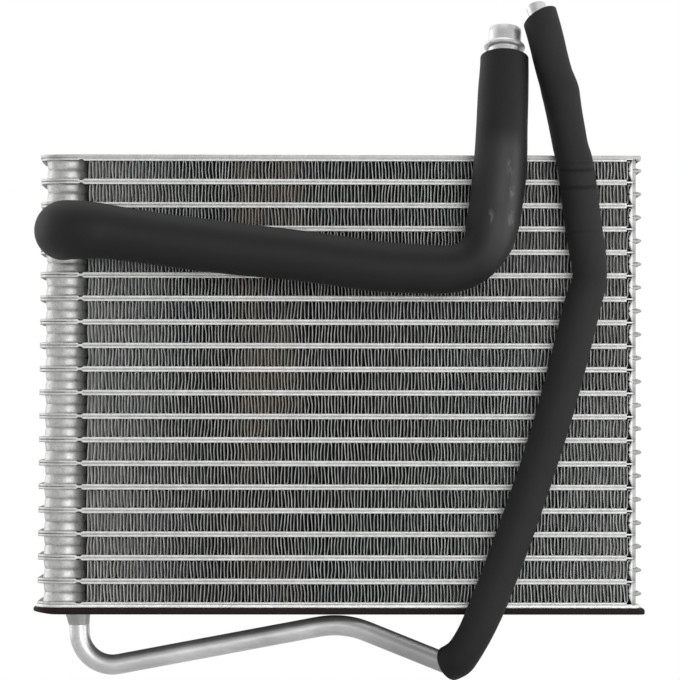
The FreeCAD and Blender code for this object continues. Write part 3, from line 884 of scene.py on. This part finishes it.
class EVAPORATOR_OT_end_plates(bpy.types.Operator):
    """Model the two end plates, the upper one with its curled right end"""
    bl_idname = "evaporator.end_plates"
    bl_label = "End plates"

    def execute(self, context):
        color = context.scene.evaporator_plates.color
        paint = plate_metal("end_plate_metal", rgb(color, 1.3))
        # The upper end plate is a darker copy of the plate metal, with painted shade toward its lower
        # edge.
        darker_metal = plate_metal("top_plate_metal", rgb(color, 0.95), painted_shade=True)
        low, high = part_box("bottom_end_plate")
        plate = rounded_plate("lower_end_piece", low, high, END_PLATE_CORNER, 4 * MM)
        bevel(plate, lambda v: near(v.z, high.z) or near(v.z, low.z), 0.3 * MM, 2)
        lean_tank_end(plate, 0)
        finish_piece(smooth(plate), paint, "end_plates", "bottom_end_plate")

        low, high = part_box("top_end_plate")
        left = (low.x + 0.2 * MM, low.y, LAST_JOINT)
        plate = rounded_plate("upper_end_piece", left, high, END_PLATE_CORNER, 1.5 * MM)
        bevel(plate, lambda v: near(v.z, high.z), 0.45 * MM, 3)
        curl = placed(CURL_BELOW, high.x, LAST_JOINT) + placed(CURL_ABOVE, high.x, high.z)
        hook = profile_prism("curl", curl, FRONT + 0.3 * MM, BACK - 0.3 * MM)
        bevel(hook, lambda v: near(abs(v.y), BACK - 0.3 * MM), 0.25 * MM, 2)
        plate = join("upper_end_piece", [plate, hook])
        lean_tank_end(plate, len(FINS))
        finish_piece(smooth(plate), darker_metal, "end_plates", "top_end_plate")
        return {"FINISHED"}


class EVAPORATOR_OT_pad(bpy.types.Operator):
    """Model the foam pad with its bevelled left end"""
    bl_idname = "evaporator.pad"
    bl_label = "Foam pad"

    def execute(self, context):
        paint = pad_skin(context.scene.evaporator_foam.pad_color)
        low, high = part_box("foam_pad")
        pad = rounded_plate("pad_piece", low, high, PAD_CORNER, 4 * MM)
        bevel(pad, lambda v: near(v.z, low.z), 0.5 * MM, 2)
        bevel(pad, lambda v: near(v.z, high.z) and v.x < high.x - 5 * MM, 0.3 * MM, 2)
        bevel(pad, lambda v: near(v.z, high.z) and v.x > high.x - 4.1 * MM, 1.2 * MM, 4)
        for vertex in pad.data.vertices:
            share = max(0, 1 - (vertex.co.x - low.x) / PAD_BEVEL_LENGTH)
            below = (high.z - vertex.co.z) / (high.z - low.z)
            vertex.co.z += PAD_BEVEL_RISE * share ** 1.5 * below
            vertex.co.x -= PAD_EXTRA_LENGTH * share
        finish_piece(smooth(pad), paint, "pad_foam", "foam_pad")
        return {"FINISHED"}


# Pipes and sleeves

# In mm: corners of a pipe's middle line, and the radius of the bend at each corner between
# its ends
SUCTION_ROUTE = [
    (-131.55, -37.0, 184.6), (-131.55, -58.0, 184.6), (-107.05, -58.0, 183.7),
    (28.45, -60.0, 165.8), (75.95, -60.0, 165.8), (78.3, -54.3, 231.6), (80.9, -35.8, 283.2),
]
SUCTION_BENDS = [18.5, 120.0, 250.0, 29.0, 60.0]
LIQUID_ROUTE = [
    (-125.6, -18.25, -1.7), (-124.6, -18.25, -28.15), (2.85, -30.0, -3.85),
    (59.45, -50.0, -25.9), (83.25, -49.0, 31.86), (105.75, -49.0, 100.26),
    (121.75, -49.0, 161.82), (112.55, -48.0, 225.3), (98.95, -40.0, 284.3), (95.95, -34.0, 294.3),
]
LIQUID_BENDS = [16.0, 40.0, 9.6, 120.0, 120.0, 40.0, 80.0, 14.0]

# In mm: middle line and radius of each sleeve, as the foam bunches up inside a bend
SUCTION_SLEEVE = [
    (-132.3, -39.0, 185.4, 14.2), (-132.3, -43.5, 185.4, 14.4), (-131.0, -49.5, 185.4, 14.4),
    (-126.8, -55.3, 185.3, 14.2), (-119.6, -58.2, 185.0, 13.8), (-111.9, -58.4, 184.4, 13.2),
    (-104.0, -58.5, 183.3, 12.8), (-90.7, -58.7, 181.4, 12.6), (-66.7, -59.1, 178.2, 12.6),
    (-42.7, -59.4, 175.4, 12.45), (-18.7, -59.7, 172.9, 12.15), (0.5, -59.9, 170.2, 12.1),
    (19.8, -60.0, 167.7, 12.05), (32.6, -60.0, 166.9, 11.85), (45.4, -60.0, 166.4, 11.7),
    (53.2, -60.0, 166.6, 11.5), (60.7, -60.0, 168.4, 11.3), (67.2, -60.0, 172.9, 11.3),
    (71.7, -59.8, 179.6, 11.9), (73.6, -58.9, 187.0, 12.8), (75.5, -57.3, 197.4, 12.8),
    (76.95, -56.3, 208.8, 13.0), (77.95, -55.2, 220.2, 12.8), (78.55, -53.2, 233.8, 12.45),
    (79.05, -50.0, 243.6, 12.35), (79.55, -46.4, 253.5, 12.2), (80.15, -42.8, 263.4, 11.85),
    (80.35, -40.6, 269.0, 11.7),
]
LIQUID_SLEEVE = [
    (53.7, -46.0, -23.1, 8.65), (55.6, -47.6, -22.1, 8.75), (57.9, -48.9, -20.5, 8.8),
    (60.3, -49.7, -17.7, 8.45), (63.6, -50.0, -12.6, 8.3), (67.5, -49.8, -5.2, 8.45),
    (71.9, -49.3, 4.9, 8.8), (76.5, -49.0, 16.3, 8.75), (80.8, -49.0, 27.6, 8.8),
    (89.0, -49.0, 50.3, 8.8), (96.7, -49.0, 73.0, 8.75), (103.7, -49.0, 95.7, 8.85),
    (109.9, -49.0, 118.4, 8.95), (115.6, -49.0, 141.1, 9.0), (118.4, -49.0, 152.4, 8.9),
    (120.4, -49.0, 158.8, 8.5), (121.2, -49.0, 164.1, 8.3), (120.9, -49.0, 169.5, 8.55),
    (120.1, -49.0, 175.1, 8.85), (118.3, -49.0, 186.2, 8.95), (116.8, -49.0, 197.8, 8.95),
    (115.4, -48.8, 208.9, 8.9), (113.7, -48.4, 219.5, 8.78), (112.1, -47.9, 225.4, 8.58),
    (110.5, -46.8, 234.1, 8.63), (108.9, -45.6, 242.9, 8.78), (107.9, -44.8, 248.8, 9.03),
    (107.1, -44.2, 253.0, 9.23), (105.9, -43.6, 257.2, 8.93), (104.8, -43.2, 260.5, 8.68),
    (102.5, -42.0, 269.3, 8.63), (101.0, -41.1, 276.0, 8.68), (99.0, -39.8, 284.0, 8.73),
    (97.4, -37.4, 290.0, 8.78), (95.7, -34.0, 296.5, 8.78),
]

# The plane that cuts the liquid sleeve off at its mouth
LIQUID_MOUTH = (97.75, -36.5, 288.2)
LIQUID_MOUTH_AXIS = (-0.472, 0.40, 0.786)

# In mm: distance along the pipe, and what comes to the pipe's radius there
BEAD = [
    (0, -0.2), (0.15, 0.8), (0.75, 1.6), (1.4, 2.02), (2.1, 2.02), (2.7, 1.5), (3.2, 0.7),
    (3.4, -0.2)]
BEAD_FROM_END = 7.6
SUCTION_COLLAR = [(0, 3.0), (1.3, 2.8), (2.0, 1.8), (2.0, 0)]
# In mm: height over the collar's foot, and radius
LIQUID_COLLAR = [
    (0, 4.98), (0.4, 5.12), (1.6, 5.3), (3.2, 5.6), (4.6, 5.9), (5.7, 6.1), (10.2, 6.1)]
LIQUID_COLLAR_FOOT = -5.7 * MM
LIQUID_COLLAR_LEAN = 0.12

# Spots of painted highlight on the suction sleeve, in mm: place across, height and size
PAINTED_GLINT_SPOTS = [(82.0, 214.7, 6.5), (83.0, 203.2, 5.0), (82.5, 190.3, 6.0), (72.6, 191.3, 5.0)]
# Folds round the liquid sleeve, bumped and darkened with painted shade: height and half width in mm,
# and strength
FOLDS = [(209.3, 1.4, 5.0), (200.7, 1.5, 5.0), (213.0, 0.8, 1.5), (179.5, 1.0, 1.2)]


def rounded_route(points, bends):
    """Places along straight runs joined by tangent arcs."""
    points = [Vector(p) * MM for p in points]
    places = [points[0]]
    along = (points[1] - points[0]).normalized()

    def run_to(place):
        start = places[-1]
        count = max(1, round((place - start).length / (5 * MM)))
        for n in range(1, count + 1):
            places.append(start.lerp(place, n / count))

    for corner, bend, after in zip(points[1:-1], bends, points[2:]):
        radius = bend * MM
        ahead = (after - corner).normalized()
        turn = along.angle(ahead)
        here = corner - along * (radius * math.tan(turn / 2))
        run_to(here)
        axis = along.cross(ahead).normalized()
        centre = here + axis.cross(along) * radius
        count = max(1, round(math.degrees(turn) / 6))
        spin = Matrix.Rotation(turn / count, 3, axis)
        for _ in range(count):
            here = centre + spin @ (here - centre)
            places.append(here)
        along = ahead
    run_to(points[-1])
    return places


def as_mesh(tube, sides):
    """Gives a path with radii its round section, and makes it a closed mesh."""
    tube.data.bevel_depth = 1.0
    tube.data.bevel_resolution = (sides - 4) // 2
    tube.data.use_fill_caps = True
    pick(tube)
    bpy.ops.object.convert(target="MESH")
    piece = bpy.context.object
    piece.data.name = piece.name
    return outward(piece)


def swept(name, places, radius, sides):
    """A tube of one radius along a path, as a closed mesh."""
    tube = added(bpy.ops.curve.primitive_nurbs_path_add, name)
    tube.data.splines.clear()
    spline = tube.data.splines.new("NURBS")
    spline.points.add(len(places) - 1)
    for point, place in zip(spline.points, places):
        point.co = (*place, 1)
        point.radius = radius
    spline.order_u = 3
    spline.use_endpoint_u = True
    spline.resolution_u = 2
    return as_mesh(tube, sides)


def foam_tube(name, stations, sides):
    """A smooth tube through given places, each with its own radius, as a closed mesh."""
    tube = added(bpy.ops.curve.primitive_bezier_curve_add, name)
    spline = tube.data.splines[0]
    spline.bezier_points.add(len(stations) - 2)
    for point, (x, y, z, radius) in zip(spline.bezier_points, stations):
        point.co = Vector((x, y, z)) * MM
        point.handle_left_type = "AUTO"
        point.handle_right_type = "AUTO"
        point.radius = radius * MM
    spline.radius_interpolation = "CARDINAL"
    spline.resolution_u = 6
    return as_mesh(tube, sides)


def mouth(piece, place, axis, radius, wall, depth):
    """Opens a tube's end: insets its cap and pushes the middle in."""
    def in_cap(face):
        return face.normal.dot(axis) > 0.95 and (face.calc_center_median() - place).length < radius

    with editing(piece):
        select(piece, "FACE", in_cap)
        bpy.ops.mesh.inset(thickness=wall, depth=0)
        extrude(-axis * depth)
    return piece


def at_end(end, axis, reach, back, out=math.inf):
    """A test for places at a tube's end: within reach of its middle, and no further back
    or further out along its axis than given."""
    return lambda v: (v - end).length < reach and -back < (v - end).dot(axis) < out


def end_axis(points):
    """The direction in which a line of points ends."""
    return (Vector(points[-1][:3]) - Vector(points[-2][:3])).normalized()


class EVAPORATOR_OT_suction_line(bpy.types.Operator):
    """Model the suction pipe, its collar, its bead and its foam sleeve"""
    bl_idname = "evaporator.suction_line"
    bl_label = "Suction line"

    def execute(self, context):
        sizes = context.scene.evaporator_pipes
        foam = context.scene.evaporator_foam
        metal = pipe_metal("pipe_metal", rgb(sizes.color, 1.22))
        radius = sizes.suction_radius
        end = Vector(SUCTION_ROUTE[-1]) * MM
        axis = end_axis(SUCTION_ROUTE)
        route = rounded_route(SUCTION_ROUTE, SUCTION_BENDS)
        pipe = swept("suction_pipe_piece", route, radius, 48)
        mouth(pipe, end, axis, radius, wall=1.24 * MM, depth=25 * MM)
        bevel(pipe, at_end(end, axis, radius + 0.2 * MM, 0.2 * MM), 0.3 * MM, 2)
        bead = turned("bead", end - axis * BEAD_FROM_END * MM, -axis, placed(BEAD, 0, radius))
        pipe = join("suction_pipe_piece", [pipe, bead])
        finish_piece(smooth(pipe), metal, "pipes", "suction_pipe")

        start = Vector(SUCTION_ROUTE[0]) * MM
        profile = placed(SUCTION_COLLAR, 0, radius)
        collar = turned("suction_collar_piece", start, (0, -1, 0), profile)
        finish_piece(smooth(collar), metal, "pipes", "suction_collar")

        paint = foam_skin(
            "suction_foam", foam.suction_color, roughness=0.62, lumps=0.5, gloss=0.15,
            spots=PAINTED_GLINT_SPOTS)
        sleeve = foam_tube("suction_sleeve_piece", SUCTION_SLEEVE, 64)
        tip = Vector(SUCTION_SLEEVE[-1][:3]) * MM
        bevel(sleeve, at_end(tip, axis, 13 * MM, 0.2 * MM), 2.2 * MM, 4)
        finish_piece(smooth(sleeve, 60), paint, "suction_foam", "suction_sleeve")
        return {"FINISHED"}


class EVAPORATOR_OT_liquid_line(bpy.types.Operator):
    """Model the liquid pipe, its flared collar and its foam sleeve"""
    bl_idname = "evaporator.liquid_line"
    bl_label = "Liquid line"

    def execute(self, context):
        sizes = context.scene.evaporator_pipes
        foam = context.scene.evaporator_foam
        metal = pipe_metal("liquid_pipe_metal", sizes.color)
        darker_metal = pipe_metal("collar_metal", rgb(sizes.color, 0.62))
        radius = sizes.liquid_radius
        end = Vector(LIQUID_ROUTE[-1]) * MM
        route = rounded_route(LIQUID_ROUTE, LIQUID_BENDS)
        pipe = swept("liquid_pipe_piece", route, radius, 40)
        mouth(pipe, end, end_axis(LIQUID_ROUTE), radius, wall=0.96 * MM, depth=6.5 * MM)
        finish_piece(smooth(pipe), metal, "pipes", "liquid_pipe")

        start = Vector(LIQUID_ROUTE[0]) * MM
        start.z = LIQUID_COLLAR_FOOT
        collar = turned("liquid_collar_piece", start, (0, 0, 1), placed(LIQUID_COLLAR, 0, 0))
        for vertex in collar.data.vertices:
            vertex.co.x -= LIQUID_COLLAR_LEAN * (min(vertex.co.z, 0) - LIQUID_COLLAR_FOOT)
        finish_piece(smooth(collar), darker_metal, "pipes", "liquid_collar")

        paint = foam_skin(
            "liquid_foam", foam.liquid_color, roughness=0.72, lumps=0.8, gloss=0.0,
            creases=FOLDS)
        sleeve = foam_tube("liquid_sleeve_piece", LIQUID_SLEEVE, 56)
        tip = Vector(LIQUID_MOUTH) * MM
        cut = Vector(LIQUID_MOUTH_AXIS).normalized()
        cut_off(sleeve, tip, cut)
        bevel(sleeve, at_end(tip, cut, 14 * MM, 0.02 * MM, 0.02 * MM), 1.6 * MM, 4)
        first, second = [Vector(p[:3]) * MM for p in LIQUID_SLEEVE[:2]]
        back = (first - second).normalized()
        bevel(sleeve, at_end(first, back, 9.5 * MM, 0.3 * MM, 0.3 * MM), 0.9 * MM, 3)
        finish_piece(smooth(sleeve, 60), paint, "liquid_foam", "liquid_sleeve")
        return {"FINISHED"}


# Stage

# Name, place, target, width and height, and power in watts of each lamp
LAMPS = [
    ("key_light", (0.9, -3.0, 0.35), (0, 0, 0.12), (1.6, 1.6), 25),
    ("right_light", (2.2, -0.8, 0.3), (0, 0, 0.12), (1.4, 1.6), 18),
    ("left_light", (-1.8, 0.9, 0.3), (-0.1, 0, 0.15), (1.2, 1.6), 6.5),
    ("top_light", (0, 0.2, 1.9), (0, 0, 0.1), (1.6, 1.6), 4),
]
# Place of the camera, and how far in degrees it turns aside, looks up and rolls
CAMERA_PLACE = (-0.03067, -2.627, 0.0975)
CAMERA_YAW = -0.70
CAMERA_PITCH = 0.78
CAMERA_ROLL = 0.055


def studio_world(strength):
    """White to the camera and in reflections from behind, a plain soft room elsewhere, and
    a dim band over the front that only metal mirrors."""
    world = bpy.data.worlds.new("studio")
    bpy.context.scene.world = world
    paint = Paint(world)
    camera = paint.ray("Is Camera Ray")
    glossy = paint.ray("Is Glossy Ray")
    clear = paint.ray("Is Transmission Ray")
    direction = paint.node("ShaderNodeTexCoord").outputs["Generated"]
    y = paint.part("Y", direction)
    z = paint.part("Z", direction)
    white = camera.largest(clear).largest(glossy * y.step(0.1, 0.6))
    soft = (z.step(-0.5, 0.5) * 0.6 + 0.4) * strength
    dim = z.band((0.12, 0.45), (0.8, 0.95)) * (1 - y.step(-0.3, 0.1))
    mirrored = 0.95 - dim * 0.55
    seen = glossy * mirrored + (1 - glossy) * soft
    level = white + (1 - white) * seen
    shader = paint.node("ShaderNodeBackground", inputs={"Color": (1, 1, 1, 1), "Strength": level})
    paint.finished(shader, "ShaderNodeOutputWorld")


def softbox(name, place, target, size, power):
    lamp = added(bpy.ops.object.light_add, name, type="AREA", location=place)
    lamp.data.shape = "RECTANGLE"
    lamp.data.size, lamp.data.size_y = size
    lamp.data.energy = power
    direction = Vector(target) - Vector(place)
    lamp.rotation_euler = direction.to_track_quat("-Z", "Y").to_euler()
    return lamp


class EVAPORATOR_OT_stage(bpy.types.Operator):
    """Set up the floor, the soft lights and the camera"""
    bl_idname = "evaporator.stage"
    bl_label = "Stage"

    def execute(self, context):
        sizes = context.scene.evaporator_studio
        place = (0, 0, sizes.floor_height)
        floor = settle(added(bpy.ops.mesh.primitive_plane_add, "floor", size=5, location=place))
        paint = Paint(bpy.data.materials.new("floor_paint"))
        seen = paint.ray("Is Camera Ray").largest(paint.ray("Is Glossy Ray"))
        floor.data.materials.append(paint.surface({
            "Base Color": paint.mixed(seen, (0.4, 0.4, 0.4, 1), (0.9, 0.9, 0.9, 1)),
            "Roughness": 0.8, "Specular IOR Level": 0.1}))

        studio_world(sizes.room_light)
        for lamp in LAMPS:
            softbox(*lamp)

        turn = Matrix.Rotation(math.radians(CAMERA_YAW), 4, "Z")
        turn = turn @ Matrix.Rotation(math.pi / 2 + math.radians(CAMERA_PITCH), 4, "X")
        turn = turn @ Matrix.Rotation(math.radians(CAMERA_ROLL), 4, "Z")
        camera = added(
            bpy.ops.object.camera_add, "Camera", location=CAMERA_PLACE, rotation=turn.to_euler())
        camera.data.lens = sizes.lens
        camera.data.sensor_width = 36
        camera.data.clip_end = 50
        context.scene.camera = camera
        context.scene.view_settings.view_transform = "Standard"
        return {"FINISHED"}


class EVAPORATOR_PT_panel(bpy.types.Panel):
    """Sidebar panel that lists the model's pieces"""
    bl_idname = "EVAPORATOR_PT_panel"
    bl_label = "Evaporator core"
    bl_space_type = "VIEW_3D"
    bl_region_type = "UI"
    bl_category = "Evaporator"

    def draw(self, context):
        for operator in OPERATORS:
            self.layout.operator(operator.bl_idname)
        for name, group in GROUPS:
            box = self.layout.box()
            settings = getattr(context.scene, name)
            for key in group.__annotations__:
                box.prop(settings, key)


OPERATORS = (
    EVAPORATOR_OT_plates,
    EVAPORATOR_OT_fins,
    EVAPORATOR_OT_end_plates,
    EVAPORATOR_OT_pad,
    EVAPORATOR_OT_suction_line,
    EVAPORATOR_OT_liquid_line,
    EVAPORATOR_OT_stage,
)
GROUPS = (
    ("evaporator_plates", PlateSizes),
    ("evaporator_fins", FinSizes),
    ("evaporator_pipes", PipeSizes),
    ("evaporator_foam", FoamSizes),
    ("evaporator_studio", StudioSizes),
)


def register():
    for name, group in GROUPS:
        bpy.utils.register_class(group)
        setattr(bpy.types.Scene, name, PointerProperty(type=group))
    for operator in OPERATORS:
        bpy.utils.register_class(operator)
    bpy.utils.register_class(EVAPORATOR_PT_panel)


def unregister():
    bpy.utils.unregister_class(EVAPORATOR_PT_panel)
    for operator in reversed(OPERATORS):
        bpy.utils.unregister_class(operator)
    for name, group in reversed(GROUPS):
        delattr(bpy.types.Scene, name)
        bpy.utils.unregister_class(group)


def main():
    register()
    bpy.ops.evaporator.plates()
    bpy.ops.evaporator.fins()
    bpy.ops.evaporator.end_plates()
    bpy.ops.evaporator.pad()
    bpy.ops.evaporator.suction_line()
    bpy.ops.evaporator.liquid_line()
    bpy.ops.evaporator.stage()


if __name__ == "__main__":
    main()
